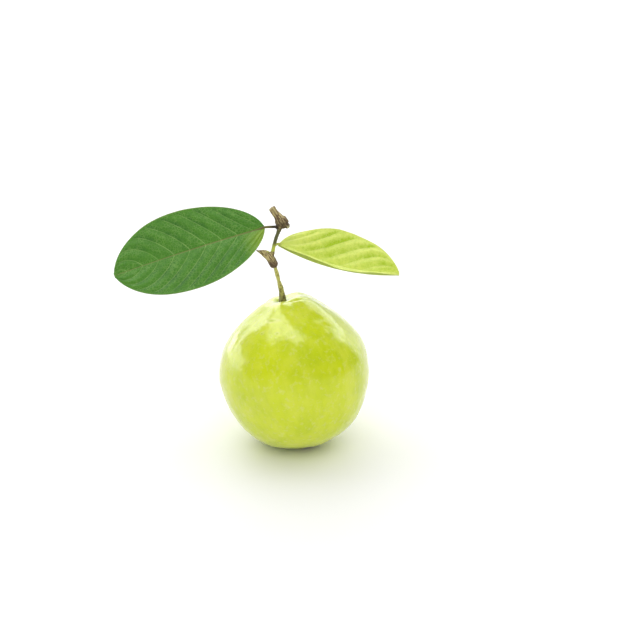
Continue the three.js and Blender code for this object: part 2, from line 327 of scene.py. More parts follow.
# %% The distance from the fruit's centre to its skin, in millimetres
# A direction from the centre is given by two angles: down from the stalk, and turn about the axis.
SKIN_SERIES = [43.34, -1.02, 0.95, 0.59, 0.5, 0.65]  # the mean radius, then the part of each cosine
FRUIT_CENTRE = Vector((0, 0, 44.2))
LEAN_LEFT = math.radians(9.3)
LEAN_BACK = math.radians(11)
PIT_DEPTH, PIT_ANGLE = 4.6, 9.5
BASIN_DEPTH, BASIN_ANGLE = 2.2, 6.5
LOBES, LOBE_HEIGHT, LOBE_ANGLE, LOBE_SPREAD = 5, 0.8, 27, 20
LOBE_TURN = math.radians(45)
SLANT, SLANT_ANGLE, SLANT_SPREAD, SHOULDER_DROP = 1.9, 20, 18, 0.7  # one shoulder is the higher
SLANT_TURN = math.radians(24)

fruit_axis = Vector((
    -math.sin(LEAN_LEFT),
    math.cos(LEAN_LEFT) * math.sin(LEAN_BACK),
    math.cos(LEAN_LEFT) * math.cos(LEAN_BACK),
))
fruit_turn = Vector((0, 0, 1)).rotation_difference(fruit_axis)


def skin_radius(down, turn):
    degrees = math.degrees(down)
    plain = sum(part * math.cos(order * down) for order, part in enumerate(SKIN_SERIES))
    pit = PIT_DEPTH * bell(degrees, 0, PIT_ANGLE)
    basin = BASIN_DEPTH * bell(degrees, 180, BASIN_ANGLE)
    shoulder = LOBE_HEIGHT * bell(degrees, LOBE_ANGLE, LOBE_SPREAD) * math.cos(LOBES * (turn - LOBE_TURN))
    slant = SLANT * math.cos(turn - SLANT_TURN) - SHOULDER_DROP
    shoulder += slant * bell(degrees, SLANT_ANGLE, SLANT_SPREAD)
    return plain - pit - basin + shoulder * max(math.sin(down), 0) ** 0.3


def on_skin(down, turn, height=0.0):
    """The point of the skin in a direction, or one a little above or below it."""
    ray = Vector((math.sin(down) * math.cos(turn), math.sin(down) * math.sin(turn), math.cos(down)))
    return fruit_turn @ (ray * (skin_radius(down, turn) + height)) + FRUIT_CENTRE


radii = [round(skin_radius(math.radians(down), 0), 1) for down in range(0, 181, 30)]
print("Skin radius from stalk to blossom end:", radii)

# %% [markdown]
# The skin of a real guava is never quite smooth. Low swells a centimetre wide break up its
# reflections, short creases run out from the pit, and a shallow fold curves away beside the stalk.
# A bump in the finish could fake them, but here they are in the mesh, so that they also show in
# the outline. The swells are noise, the creases are bells about the axis, and the fold is a bell
# down from the stalk whose middle drops as it runs to the right.

# %% Swells, creases and a fold
SWELLS = [(15.0, 0.34), (6.5, 0.18), (2.6, 0.05)]  # width and height of each, in millimetres
CREASES = [(95, 0.4, 20), (160, 0.3, 16)]  # turn in degrees, depth in millimetres, end in degrees
CREASE_WIDTH, CREASE_SPREAD = 7.0, 60.0  # degrees of turn, and what they grow by near the stalk
FOLD_DOWN, FOLD_WIDTH = 14.8, 1.4  # degrees from the stalk
FOLD_START, FOLD_SLOPE = -55.0, 0.2  # the turn where it begins to drop, and how fast it drops
FOLD_LEFT, FOLD_RIGHT = (-78, -62), (8, -6)  # the turns between which each end fades in
FOLD_DEPTH = 0.4  # millimetres


def skin_detail(down, turn, point):
    swell = sum(height * noise.noise(point / width) for width, height in SWELLS)
    degrees, about = math.degrees(down), math.degrees(turn)
    crease = 0
    for middle, depth, end in CREASES:
        off = (about - middle + 180) % 360 - 180
        width = CREASE_WIDTH + CREASE_SPREAD / (degrees + 4)
        crease += depth * bell(off, 0, width) * bell(degrees, 8, end - 8)
    fold = FOLD_DEPTH * bell(degrees, FOLD_DOWN + FOLD_SLOPE * max(about - FOLD_START, 0), FOLD_WIDTH)
    fold *= smooth(*FOLD_LEFT, about) * smooth(*FOLD_RIGHT, about)
    return swell - crease * smooth(0, 6, degrees) - fold


print("The creases run out from the pit to", max(end for _, _, end in CREASES), "degrees")

# %% Push a sphere out to the skin
FRUIT_AROUND, FRUIT_DOWN = 336, 180


def model_fruit():
    made = bmesh.new()
    bmesh.ops.create_uvsphere(made, u_segments=FRUIT_AROUND, v_segments=FRUIT_DOWN, radius=1)
    for vertex in made.verts:
        down = math.acos(max(-1, min(1, vertex.co.z)))
        turn = math.atan2(vertex.co.y, vertex.co.x)
        place = on_skin(down, turn)
        vertex.co = on_skin(down, turn, skin_detail(down, turn, place))
        vertex.co.z = max(vertex.co.z, 0)
    bmesh.ops.recalc_face_normals(made, faces=made.faces)
    return made


fruit_mesh = model_fruit()
print("The fruit's mesh has", len(fruit_mesh.verts), "vertices")

# %% [markdown]
# The skin is thin and waxy over pale flesh. One noise between two greens would look like paint,
# so its colour is built in layers, from large to small: a slow drift from yellow-green to deeper
# green, long soft blotches that run from the stalk to the blossom end, and pale flecks, pale pores
# and a few dark specks. Three small healed marks on one shoulder are green with a pale rim, and have
# lost some of their wax. Patterns that follow the fruit use object coordinates turned upright along
# its axis. A thin clear coat gives the wax its gloss over a softer shine, and a little light passes
# into the flesh and out again.

# %% The waxy skin
DEEP_GREEN = (0.490, 0.610, 0.001)
LIME = (0.640, 0.735, 0.003)
PALE_LIME = (0.740, 0.790, 0.060)
CREAM = (0.800, 0.790, 0.300)
RUSSET = (0.230, 0.170, 0.050)
PIT_GREEN = (0.300, 0.380, 0.030)
MARKS = [  # degrees down and of turn, then the stretch across and along, near a millimetre each
    (33.2, -105.8, 3.6, 1.0),
    (46.4, -97.6, 0.9, 0.7),
    (44.7, -115.6, 0.8, 0.7),
]
PIT_REACH, BLOSSOM_REACH = (7.5 * MM, 2.2 * MM), (7.0 * MM, 4.2 * MM)  # where each tint fades in


def skin_finish():
    finish = Finish("waxy guava skin")
    axis_turn = fruit_turn.to_euler()
    upright = finish.place(FRUIT_CENTRE * MM, axis_turn)
    long_way = finish.place(FRUIT_CENTRE * MM, axis_turn, (1, 1, 0.45))
    drift = finish.noise(upright, 34, 2.0).step(0.34, 0.68)
    blotch = finish.noise(long_way, 8.5, 4.0, 0.55).step(0.36, 0.70)
    mottle = finish.noise(long_way, 3.2, 3.0, 0.6).step(0.40, 0.72)
    deep = finish.mix(drift * 0.65 + mottle * 0.30, LIME, DEEP_GREEN)
    colour = finish.mix(blotch * 0.50, deep, PALE_LIME)
    pores = finish.cells(upright, 1.9).step(0.16, 0.05)
    colour = finish.mix(pores * 0.40, colour, PALE_LIME)
    flecks = finish.noise(upright, 2.8, 4.0, 0.6).step(0.50, 0.70)
    colour = finish.mix(flecks * 0.28, colour, CREAM)
    specks = finish.cells(finish.place((0.013, 0.007, 0.002)), 7.5).step(0.055, 0.025)
    colour = finish.mix(specks * 0.55, colour, RUSSET)
    height = finish.height(upright)
    from_axis = finish.distance(finish.place(FRUIT_CENTRE * MM, axis_turn, (1, 1, 0)))
    at_stalk = from_axis.step(*PIT_REACH) * height.step(0, 20 * MM)
    colour = finish.mix(at_stalk * 0.75, colour, PIT_GREEN)
    at_blossom = from_axis.step(*BLOSSOM_REACH) * height.step(0, -20 * MM)
    colour = finish.mix(at_blossom * 0.8, colour, RUSSET)
    wax = 1.0
    for down, turn, across, along in MARKS:
        centre = on_skin(math.radians(down), math.radians(turn)) * MM
        mark_turn = (0, 0, math.radians(turn + 90))
        away = finish.distance(finish.place(centre, mark_turn, (1 / across, 1 / along, 1 / along)))
        colour = finish.mix(away.step(2.4 * MM, 1.0 * MM) * 0.35, colour, CREAM)
        colour = finish.mix(away.step(1.2 * MM, 0.4 * MM) * 0.8, colour, DEEP_GREEN)
        wax = (away.step(0.2 * MM, 1.3 * MM) * 0.7 + 0.3) * wax
    finish.set(Base_Color=colour, Roughness=0.36 + mottle * 0.10 + specks * 0.3, IOR=1.45)
    finish.set(Specular_IOR_Level=0.15, Coat_Weight=wax, Coat_Roughness=0.16)
    finish.set(Subsurface_Weight=0.12, Subsurface_Radius=(1.0, 0.9, 0.3), Subsurface_Scale=2.5 * MM)
    orange_peel = finish.noise(upright, 1.3, 2.0)
    finish.bump(orange_peel * 0.15 - pores * 0.2 + mottle * 0.5 + flecks * 0.25, 0.34, 0.8)
    return finish


add_piece(fruit_mesh, "fruit_skin", "fruit", skin_finish())

# %% [markdown]
# ## Rods that bend
#
# Stalks and shoots are rods that bend and change their thickness. A curve object with a bevel
# could draw them, but its rings couldn't be dented one by one afterwards. So a ring is extruded
# along a path, step by step. The path is a centripetal Catmull-Rom spline: it runs through every
# one of its points and doesn't overshoot between them. A spline runs faster where its points are
# far apart, so the steps are measured off along it with equal lengths.

# %% A spline, and equal steps along a curve
FINE_STEPS = 400


def spline(points, share):
    """The point at a share of the way along a centripetal Catmull-Rom spline."""
    points = [points[0] * 2 - points[1], *points, points[-1] * 2 - points[-2]]
    spans = len(points) - 3
    span = min(int(share * spans), spans - 1)
    four = points[span:span + 4]
    times = [0.0]
    for near, far in zip(four, four[1:]):
        times.append(times[-1] + math.sqrt((far - near).length))
    time = times[1] + (times[2] - times[1]) * (share * spans - span)
    level = four
    for gap in (1, 2):
        level = [
            level[i] + (level[i + 1] - level[i]) * ((time - times[i]) / (times[i + gap] - times[i]))
            for i in range(4 - gap)
        ]
    return level[0] + (level[1] - level[0]) * ((time - times[1]) / (times[2] - times[1]))


def walk(curve, steps):
    """Points and directions at equal steps along a curve, and the curve's length."""
    fine = [curve(i / FINE_STEPS) for i in range(FINE_STEPS + 1)]
    lengths = [0.0]
    for near, far in zip(fine, fine[1:]):
        lengths.append(lengths[-1] + (far - near).length)
    walked = []
    at = 0
    for i in range(steps + 1):
        wanted = lengths[-1] * i / steps
        while at < FINE_STEPS - 1 and lengths[at + 1] < wanted:
            at += 1
        near, far = fine[at], fine[at + 1]
        point = near.lerp(far, (wanted - lengths[at]) / (lengths[at + 1] - lengths[at]))
        walked.append((point, (far - near).normalized()))
    return walked, lengths[-1]


straight = [Vector((0, 0, 0)), Vector((0, 0, 4))]
print("Half way along a straight spline lies", [round(part, 2) for part in spline(straight, 0.5)])

# %% A ring that is extruded along a spline
def extrude_rod(made, points, radius_at, steps, sides):
    """Adds a closed rod to a bmesh. Its radius is a function of the share of its length."""
    path = [point for point, _ in walk(lambda share: spline(points, share), steps)[0]]
    ring = bmesh.ops.create_circle(made, cap_ends=True, radius=1, segments=sides)["verts"]
    edges = list({edge for vertex in ring for edge in vertex.link_edges})
    stand = Matrix.Identity(4)
    ahead_before = Vector((0, 0, 1))
    turn = Matrix.Identity(3)
    added = list(ring)
    for i, point in enumerate(path):
        ahead = (path[min(i + 1, steps)] - path[max(i - 1, 0)]).normalized()
        turn = ahead_before.rotation_difference(ahead).to_matrix() @ turn
        ahead_before = ahead
        wanted = Matrix.Translation(point) @ (turn * radius_at(i / steps)).to_4x4()
        if i > 0:
            grown = bmesh.ops.extrude_edge_only(made, edges=edges)["geom"]
            ring = [item for item in grown if isinstance(item, bmesh.types.BMVert)]
            edges = [item for item in grown if isinstance(item, bmesh.types.BMEdge)]
            edges = [edge for edge in edges if all(vertex in ring for vertex in edge.verts)]
            added += ring
        bmesh.ops.transform(made, matrix=wanted @ stand.inverted(), verts=ring)
        stand = wanted
    bmesh.ops.contextual_create(made, geom=edges)
    return added


test_rod = bmesh.new()
extrude_rod(test_rod, straight, lambda share: 1, 2, 6)
print("A rod of two steps with six sides has", len(test_rod.faces), "faces")
test_rod.free()

# %% [markdown]
# ## The calyx
#
# The flower sits on the end of the young fruit, and its sepals stay there as a small dry crown.
# Each sepal is a short blade that curls up and is wrinkled along its length. It could be cut from
# a flat sheet and bent by a modifier. A grid whose vertices are placed by a rule gives the same
# blade in one go, and the rule can differ a little from one sepal to the next.

# %% Five dry sepals round a small disc
SEPALS = 5
SEPAL_START, SEPAL_LENGTH, SEPAL_HALF_WIDTH = 0.4, 4.0, 1.75  # millimetres from the fruit's axis
SEPAL_TIP = 0.985  # share of the length where a sepal ends, so that its tip keeps a width
SEPAL_RISE, SEPAL_CURL, SEPAL_WRINKLE = 0.35, 0.9, 0.10  # millimetres off the skin
SEPAL_THICKNESS = 0.35
SEPAL_STEPS_LONG, SEPAL_STEPS_WIDE = 22, 18
DISC_RADIUS, DISC_HEIGHT = 1.7, 0.75


def place_sepal(number, share, across, level):
    """A point of a sepal: share runs outward, across from side to side, level from 0 to 1."""
    middle_turn = 2 * math.pi * number / SEPALS + 0.3 * math.sin(number * 2.4)
    width = SEPAL_HALF_WIDTH * (1 - share ** 2.6) ** 0.7 * (0.72 + 0.5 * share)
    out = SEPAL_START + SEPAL_LENGTH * share * (1 + 0.08 * math.sin(number * 5.1))
    sideways = across * width
    wrinkle = SEPAL_WRINKLE * math.sin(across * 9 + number) * share
    curl = SEPAL_CURL * math.sin(share * 2.6) * (0.7 + 0.3 * math.cos(number * 1.9)) - 0.25 * across ** 2
    height = SEPAL_RISE + curl + wrinkle + level * SEPAL_THICKNESS
    down = math.pi - math.hypot(out, sideways) / SKIN_SERIES[0]
    return on_skin(down, middle_turn + math.atan2(sideways, out), max(height, 0.15))


def model_calyx():
    made = bmesh.new()
    for number in range(SEPALS):
        blade = bmesh.ops.create_grid(
            made, x_segments=SEPAL_STEPS_LONG, y_segments=SEPAL_STEPS_WIDE, size=1
        )
        faces = list({face for vertex in blade["verts"] for face in vertex.link_faces})
        upper = bmesh.ops.extrude_face_region(made, geom=faces)["geom"]
        upper = {item for item in upper if isinstance(item, bmesh.types.BMVert)}
        for vertex in [*blade["verts"], *upper]:
            share = min(vertex.co.x * 0.5 + 0.5, SEPAL_TIP)
            vertex.co = place_sepal(number, share, vertex.co.y, 1 if vertex in upper else 0)
    disc = bmesh.ops.create_uvsphere(made, u_segments=40, v_segments=20, radius=1)["verts"]
    for vertex in disc:
        turn = math.atan2(vertex.co.y, vertex.co.x)
        reach = DISC_RADIUS * math.hypot(vertex.co.x, vertex.co.y) * (1 + 0.07 * math.cos(turn * 11))
        rise = DISC_HEIGHT * vertex.co.z * (1 - 0.75 * bell(reach, 0, 0.7))
        vertex.co = on_skin(math.pi - reach / SKIN_SERIES[0], turn, 0.5 + rise)
    bmesh.ops.recalc_face_normals(made, faces=made.faces)
    return made


calyx_mesh = model_calyx()
print("The calyx is", round(min(vertex.co.z for vertex in calyx_mesh.verts), 2), "mm clear of the table")

# %% [markdown]
# Dry plant matter is dark, dull and streaked. A wave texture would draw the fibres too evenly, so
# two noises are used, a coarse one for patches and a fine, drawn-out one for fibres. The same
# fibres feed a bump.

# %% A dry brown finish
DRY_DARK = (0.060, 0.032, 0.014)
DRY_LIGHT = (0.235, 0.155, 0.075)


def dry_finish():
    finish = Finish("dry calyx")
    patches = finish.noise(finish.place(), 1.6, 4.0)
    fibres = finish.noise(finish.place(scale=(1, 1, 0.3)), 0.35, 2.0)
    finish.set(Base_Color=finish.mix(patches * 0.8 + fibres * 0.4, DRY_DARK, DRY_LIGHT), Roughness=0.85)
    finish.bump(fibres, 0.12)
    return finish


add_piece(calyx_mesh, "calyx_crown", "calyx", dry_finish())

# %% [markdown]
# ## The stalk
#
# The stalk is still fresh, yellow-green with brown cork flecks, and browner at its foot, which is
# wider where it grows out of the pit. It isn't a perfect rod: low lengthwise ridges and small
# warts run along it. They are pushed out of the mesh by noise, because a bump alone would leave
# the outline smooth.

# %% Extrude and roughen the stalk
STALK_ROOT_RADIUS, STALK_RADIUS = 2.1, 1.05
STALK_TOP = Vector((-10.4, 9.9, 102.9))
STALK_SINK = 1.2  # the foot goes this far into the skin, so that no gap shows
STALK_RIDGE, STALK_WART_SIZE, STALK_WART = 0.22, 0.9, 0.35


def push_out(made, vertices, height_of):
    """Moves each vertex along its normal by the height, in millimetres, that a rule gives it."""
    made.normal_update()
    moves = [vertex.normal * height_of(vertex) for vertex in vertices]
    for vertex, move in zip(vertices, moves):
        vertex.co += move


def stalk_relief(vertex):
    lengthwise = Vector((vertex.co.x * 1.4, vertex.co.y * 1.4, vertex.co.z * 0.22))
    ridge = STALK_RIDGE * noise.noise(lengthwise)
    return ridge + STALK_WART * max(0, noise.noise(vertex.co / STALK_WART_SIZE) - 0.15)


def model_stalk():
    root = on_skin(0, 0, -STALK_SINK)
    points = [
        root,
        root + fruit_axis * 7 + Vector((0.5, 0, 0)),
        root.lerp(STALK_TOP, 0.72) + Vector((0.3, 0, 0)),
        STALK_TOP + (STALK_TOP - root).normalized() * 0.6,
    ]

    def radius_at(share):
        flare = (STALK_ROOT_RADIUS - STALK_RADIUS) * bell(share, 0, 0.4)
        return STALK_RADIUS + flare + 0.1 * math.sin(share * 17)

    made = bmesh.new()
    rod = extrude_rod(made, points, radius_at, 110, 40)
    push_out(made, rod, stalk_relief)
    bmesh.ops.recalc_face_normals(made, faces=made.faces)
    return made


stalk_mesh = model_stalk()
print("The stalk reaches", round(max(vertex.co.z for vertex in stalk_mesh.verts), 1), "mm above the table")

# %% A green stalk that turns brown at its foot
STALK_YELLOW = (0.640, 0.600, 0.160)
STALK_OLIVE = (0.330, 0.310, 0.060)
CORK = (0.085, 0.060, 0.025)
STALK_FOOT_HEIGHT = 86.0 * MM


def stalk_finish():
    finish = Finish("green stalk")
    place = finish.place()
    height = finish.height(place)
    lower = height.step(STALK_FOOT_HEIGHT + 13 * MM, STALK_FOOT_HEIGHT)
    foot = height.step(STALK_FOOT_HEIGHT + 3.5 * MM, STALK_FOOT_HEIGHT)
    streaks = finish.noise(finish.place(scale=(1, 1, 0.25)), 0.8, 3.0)
    colour = finish.mix(lower * 0.35 + streaks * 0.35, STALK_YELLOW, STALK_OLIVE)
    flecks = finish.noise(place, 1.2, 3.0).step(0.51, 0.58)
    colour = finish.mix(flecks * (0.45 + lower * 0.25), colour, CORK)
    colour = finish.mix(foot * 0.45, colour, CORK)
    finish.set(Base_Color=colour, Roughness=0.55 + flecks * 0.3)
    finish.bump(streaks * 0.5 + flecks * 0.5, 0.18)
    return finish


add_piece(stalk_mesh, "green_stalk", "stalk", stalk_finish())

# %% [markdown]
# ## The twig
#
# The old wood, the shoot, the knob, the cut stub and the leaf scar grew as one, so no seam may
# show where they meet. A boolean union would join them, but with sharp creases. So five closed
# shapes are set into each other first. A voxel remesh then wraps them in a single skin, and a few
# rounds of smoothing round off the creases between them. Last, each vertex is moved by the bark:
# ridges that run along whichever limb it lies on, and wrinkles round the knob.

# %% Set five shapes into each other
WOOD_LOW = Vector((-10.4, 10.2, 103.6))
WOOD_MIDDLE = Vector((-14.6, 9.9, 110.6))
WOOD_TORN = Vector((-21.0, 9.2, 113.8))
WOOD_RADIUS = 2.5
SHOOT_BEND = Vector((-10.3, 11.4, 119.0))
SHOOT_RADIUS = 1.15
KNOB = Vector((-6.6, 12.3, 129.5))
KNOB_RADIUS = 3.4
KNOB_SQUASH = (1.12, 0.9, 1.12)
STUB_TOP = Vector((-12.2, 12.6, 137.8))
STUB_RADIUS = 1.95
SCAR = Vector((-3.6, 11.0, 127.8))
SCAR_RADIUS = 1.6
shoot_foot = WOOD_LOW.lerp(WOOD_MIDDLE, 0.6)


def old_wood_radius(share):
    body = WOOD_RADIUS * (1 - 0.2 * share)
    round_end = math.sqrt(1 - (1 - min(share / 0.16, 1)) ** 2 * 0.75)
    return body * round_end * (1 - 0.82 * smooth(0.6, 1, share))


def shoot_radius(share):
    return SHOOT_RADIUS * (1 + 0.35 * bell(share, 1, 0.2))


def stub_radius(share):
    foot = KNOB_RADIUS * 0.86
    return foot + (STUB_RADIUS - foot) * smooth(0, 0.7, share)


def add_ball(made, centre, radius, squash=(1, 1, 1)):
    ball = bmesh.ops.create_uvsphere(made, u_segments=32, v_segments=20, radius=radius)["verts"]
    bmesh.ops.scale(made, vec=squash, verts=ball)
    bmesh.ops.translate(made, vec=centre, verts=ball)


def model_limbs():
    made = bmesh.new()
    extrude_rod(made, [WOOD_LOW, WOOD_MIDDLE, WOOD_TORN], old_wood_radius, 40, 32)
    extrude_rod(made, [shoot_foot, SHOOT_BEND, KNOB], shoot_radius, 60, 24)
    extrude_rod(made, [KNOB, STUB_TOP], stub_radius, 20, 32)
    add_ball(made, KNOB, KNOB_RADIUS, KNOB_SQUASH)
    add_ball(made, SCAR, SCAR_RADIUS)
    bmesh.ops.recalc_face_normals(made, faces=made.faces)
    return made


limbs = model_limbs()
print("Before the remesh the twig is", len(limbs.verts), "vertices in five shapes")

# %% Wrap them in one skin
VOXEL = 0.21  # millimetres
SMOOTH_ROUNDS = 5


def join_by_voxels(made):
    """Wraps all shells of a bmesh in one skin, by a Remesh modifier, and rounds it off."""
    mesh = bpy.data.meshes.new("limbs")
    made.to_mesh(mesh)
    made.free()
    shell = bpy.data.objects.new("limbs", mesh)
    bpy.context.scene.collection.objects.link(shell)
    remesh = shell.modifiers.new("one skin", "REMESH")
    remesh.mode = "VOXEL"
    remesh.voxel_size = VOXEL
    joined = bmesh.new()
    joined.from_object(shell, bpy.context.evaluated_depsgraph_get())
    bpy.data.objects.remove(shell)
    for _ in range(SMOOTH_ROUNDS):
        bmesh.ops.smooth_vert(
            joined, verts=joined.verts, factor=0.5, use_axis_x=True, use_axis_y=True, use_axis_z=True
        )
    return joined


twig_mesh = join_by_voxels(limbs)
print("After it the twig is one skin of", len(twig_mesh.verts), "vertices")

# %% Raise the bark
BARK_RIDGE = 0.30
BARK_WRINKLE, BARK_WRINKLE_SIZE = 0.22, 1.1
BARK_SINK = 0.12  # what the grooves go below the smooth skin
SHOOT_BARE = 114.0  # height above which the shoot has no bark
LIMBS = [  # start, end, how woody it is from 0, green, to 1, old
    (WOOD_LOW, WOOD_TORN, 1.0),
    (shoot_foot, KNOB, 0.0),
    (KNOB, STUB_TOP, 1.0),
]
woodiness = twig_mesh.verts.layers.float.new("woodiness")
# how deep each vertex lies in a groove, which the finish turns into painted shade
hollow_shade = twig_mesh.verts.layers.float.new("hollow_shade")


def nearest_limb(point):
    """How far a point lies along and around its nearest limb, and how woody that limb is."""
    found = None
    for start, end, woody in LIMBS:
        ahead = (end - start).normalized()
        along = max(0, min((point - start).dot(ahead), (end - start).length))
        off = point - start - ahead * along
        if found is None or off.length < found[0]:
            found = (off.length, along, off, woody)
    return found[1], found[2], found[3]


def bark_relief(vertex):
    """The height of the bark at a vertex, which also notes how woody it is there and how deep it lies in a
    groove, for the painted shade in the grooves.
    """
    along, off, woody = nearest_limb(vertex.co)
    knob = bell((vertex.co - KNOB).length, 0, KNOB_RADIUS * 1.5)
    woody = max(woody, knob, smooth(SHOOT_BARE, SHOOT_BARE - 2.5, vertex.co.z))
    direction = off.normalized() if off.length > 1e-6 else Vector((0, 0, 1))
    ridge = 1 - abs(noise.noise(direction * 2.6 + Vector((0, 0, along * 0.16)))) * 3.2
    wrinkle = noise.noise(vertex.co / BARK_WRINKLE_SIZE)
    lift = (BARK_RIDGE * ridge * (0.25 + 0.75 * woody)) + BARK_WRINKLE * wrinkle * (0.15 + 0.85 * knob)
    vertex[woodiness] = woody
    # the depth in a groove, kept for the painted shade of the finish
    vertex[hollow_shade] = smooth(0.1, -0.25, lift - BARK_SINK)
    return lift - BARK_SINK


push_out(twig_mesh, twig_mesh.verts, bark_relief)
print("The twig reaches", round(max(vertex.co.z for vertex in twig_mesh.verts), 1), "mm above the table")

# %% [markdown]
# Bark is dull and streaked. A colour ramp by height could tell wood from shoot, but the limbs pass
# each other at the same height. So the mesh carries two attributes that the finish reads: how woody
# each point is, which turns the green shoot into brown wood, and how deep it lies in a groove, which
# darkens it as painted shade. The old wood is tan where it is torn and darker at its lower end, the
# knob is dark brown, the scar on it is pale, and the joint of the large leaf's stalk is dark.

# %% Bark, from a green shoot to old wood
SHOOT_GREEN = (0.520, 0.580, 0.070)
SHOOT_OLIVE = (0.105, 0.110, 0.030)
WOOD_TAN = (0.560, 0.460, 0.200)
WOOD_BROWN = (0.160, 0.095, 0.045)
WOOD_PINK = (0.330, 0.190, 0.130)
KNOB_BROWN = (0.080, 0.046, 0.026)
# painted shade for the grooves, and also the dark colour of the large leaf's stalk joint
GROOVE_SHADE_AND_JOINT_BROWN = (0.035, 0.022, 0.012)
SCAR_PALE = (0.560, 0.500, 0.280)
SCAR_FACE = SCAR + Vector((1.1, -0.9, -0.3))
JOINT = Vector((-10.6, 11.6, 126.8))  # where the large leaf's stalk comes out


def bark_finish():
    finish = Finish("twig bark")
    place = finish.place()
    height = finish.height(place)
    woody = finish.attribute("woodiness").step(0.25, 0.7)
    hollow_shade = finish.attribute("hollow_shade")
    streaks = finish.noise(finish.place(turn=(0, math.radians(-35), 0), scale=(1, 1, 0.2)), 0.7, 3.0)
    patches = finish.noise(place, 2.2, 3.0).step(0.35, 0.65)
    shoot = finish.mix(height.step(114.5 * MM, 118.5 * MM), SHOOT_GREEN, SHOOT_OLIVE)
    shoot = finish.mix(streaks.step(0.52, 0.66) * 0.6, shoot, SHOOT_OLIVE)
    wood = finish.mix(streaks.step(0.40, 0.56), WOOD_BROWN, WOOD_TAN)
    wood = finish.mix(height.step(109.5 * MM, 105 * MM) * 0.75, wood, WOOD_PINK)
    wood = finish.mix(height.step(109.0 * MM, 104.5 * MM) * 0.75, wood, KNOB_BROWN)
    in_knob = height.step(124 * MM, 127 * MM) * height.step(134 * MM, 129 * MM)
    wood = finish.mix(in_knob * (0.45 + patches * 0.45), wood, KNOB_BROWN)
    colour = finish.mix(woody, shoot, wood)
    # painted shade: the grooves of the wood are darkened by how deep they lie
    colour = finish.mix(hollow_shade * woody * 0.65, colour, GROOVE_SHADE_AND_JOINT_BROWN)
    at_joint = finish.distance(place, JOINT * MM).step(2.8 * MM, 1.4 * MM)
    colour = finish.mix(at_joint * 0.75, colour, GROOVE_SHADE_AND_JOINT_BROWN)
    at_scar = finish.distance(place, SCAR_FACE * MM).step(1.25 * MM, 0.9 * MM)
    colour = finish.mix(at_scar * patches.step(1.4, 0.2), colour, SCAR_PALE)
    finish.set(Base_Color=colour, Roughness=0.60 + woody * 0.25)
    finish.bump(streaks, 0.12)
    return finish


add_piece(twig_mesh, "twig_bark", "twig", bark_finish())

# %% [markdown]
# ## The leaves
#
# A guava leaf is a long oval on a short stalk. A middle rib carries it, and side ribs run outward
# and forward from it. Between them the blade swells, so the leaf looks quilted. A flat leaf could
# be bent by modifiers one after another, but then the ribs would be hard to keep in step. Here each
# leaf starts as a flat grid whose two directions are the share of the leaf's length and the share
# of its width. The grid is extruded once, so that it has an upper and a lower face, and then every
# vertex is placed by a rule: along a curved middle line, out to its side, up by the fold of that
# half, the swell, the wave of the edge and the relief of the ribs. The rule is the same for both
# leaves, and only its measures differ.

# %% Measures of the two leaves, in millimetres
def face_at(degrees, sideways=0.0):
    """The direction that a leaf's upper side looks in: 0 is straight up, 90 is to the front."""
    return Vector((sideways, -math.sin(math.radians(degrees)), math.cos(math.radians(degrees))))


LARGE_LEAF = {
    "root": Vector((-9.0, 12.2, 126.8)),  # where its stalk leaves the twig
    "base": Vector((-16.4, 11.2, 126.8)),  # where the blade begins
    "middle": Vector((-59.9, 4.0, 116.1)),  # pulls at the middle line, which doesn't reach it
    "tip": Vector((-100.0, -4.0, 103.5)),
    "face": face_at(52),
    "left_width": 23.8,
    "right_width": 23.3,
    "widest_shift": 1.12,  # above 1, the blade is widest past its middle
    "tip_power": 0.7,  # a smaller power makes a blunter tip
    "fold": math.radians(7),  # how far each half is lifted
    "ribs": 9.5,  # to a side
    "rib_offset": 0.3,  # moves all of them towards the base, as a share of their spacing
    "left_reach": 0.33,  # share of the length that a rib runs forward on its way out
    "right_reach": 0.24,
    "rib_bend": 1.3,  # above 1, ribs curve towards the tip
    "swell": 0.5,
    "wave": 0.6,
    "stalk_radius": 0.7,
    "foot_swell": 0.7,
}
YOUNG_LEAF = {
    "root": Vector((-11.2, 11.2, 116.0)),
    "base": Vector((-8.1, 11.7, 116.8)),
    "middle": Vector((23.0, 13.2, 97.2)),
    "tip": Vector((59.8, 12.5, 98.2)),
    "face": face_at(15, 0.1),
    "left_width": 22.4,
    "right_width": 20.0,
    "widest_shift": 1.12,
    "tip_power": 0.72,
    "fold": math.radians(35),
    "ribs": 5.5,
    "rib_offset": 0.32,
    "left_reach": 0.55,
    "right_reach": 0.55,
    "rib_bend": 1,
    "swell": 1.3,
    "wave": -0.7,
    "stalk_radius": 0.65,
    "foot_swell": 0.1,
}
spans = [round((leaf["tip"] - leaf["base"]).length) for leaf in (LARGE_LEAF, YOUNG_LEAF)]
print("From base to tip the leaves are", spans, "mm")

# %% The middle line, and the width along it
OVAL_POWER, BASE_POWER = 2.25, 0.55
END_WIDTH = 0.05  # share of the full width that is left at both ends


def leaf_frames(leaf, steps):
    """Points on the middle line with the blade's up and left directions, and the line's length."""
    def bend(share):
        near = leaf["base"].lerp(leaf["middle"], share)
        return near.lerp(leaf["middle"].lerp(leaf["tip"], share), share)

    walked, length = walk(bend, steps)
    frames = []
    for point, ahead in walked:
        up = (leaf["face"] - ahead * leaf["face"].dot(ahead)).normalized()
        frames.append((point, up, up.cross(ahead)))
    return frames, length


def outward_at(leaf, share, across):
    """The distance from the middle rib. Across is 1 at the left edge and -1 at the right one."""
    shifted = share ** leaf["widest_shift"]
    power = leaf["tip_power"] if shifted > 0.5 else BASE_POWER
    oval = max(0, 1 - abs(2 * shifted - 1) ** OVAL_POWER) ** power
    widest = leaf["left_width"] if across > 0 else leaf["right_width"]
    return abs(across) * widest * max(END_WIDTH, oval)


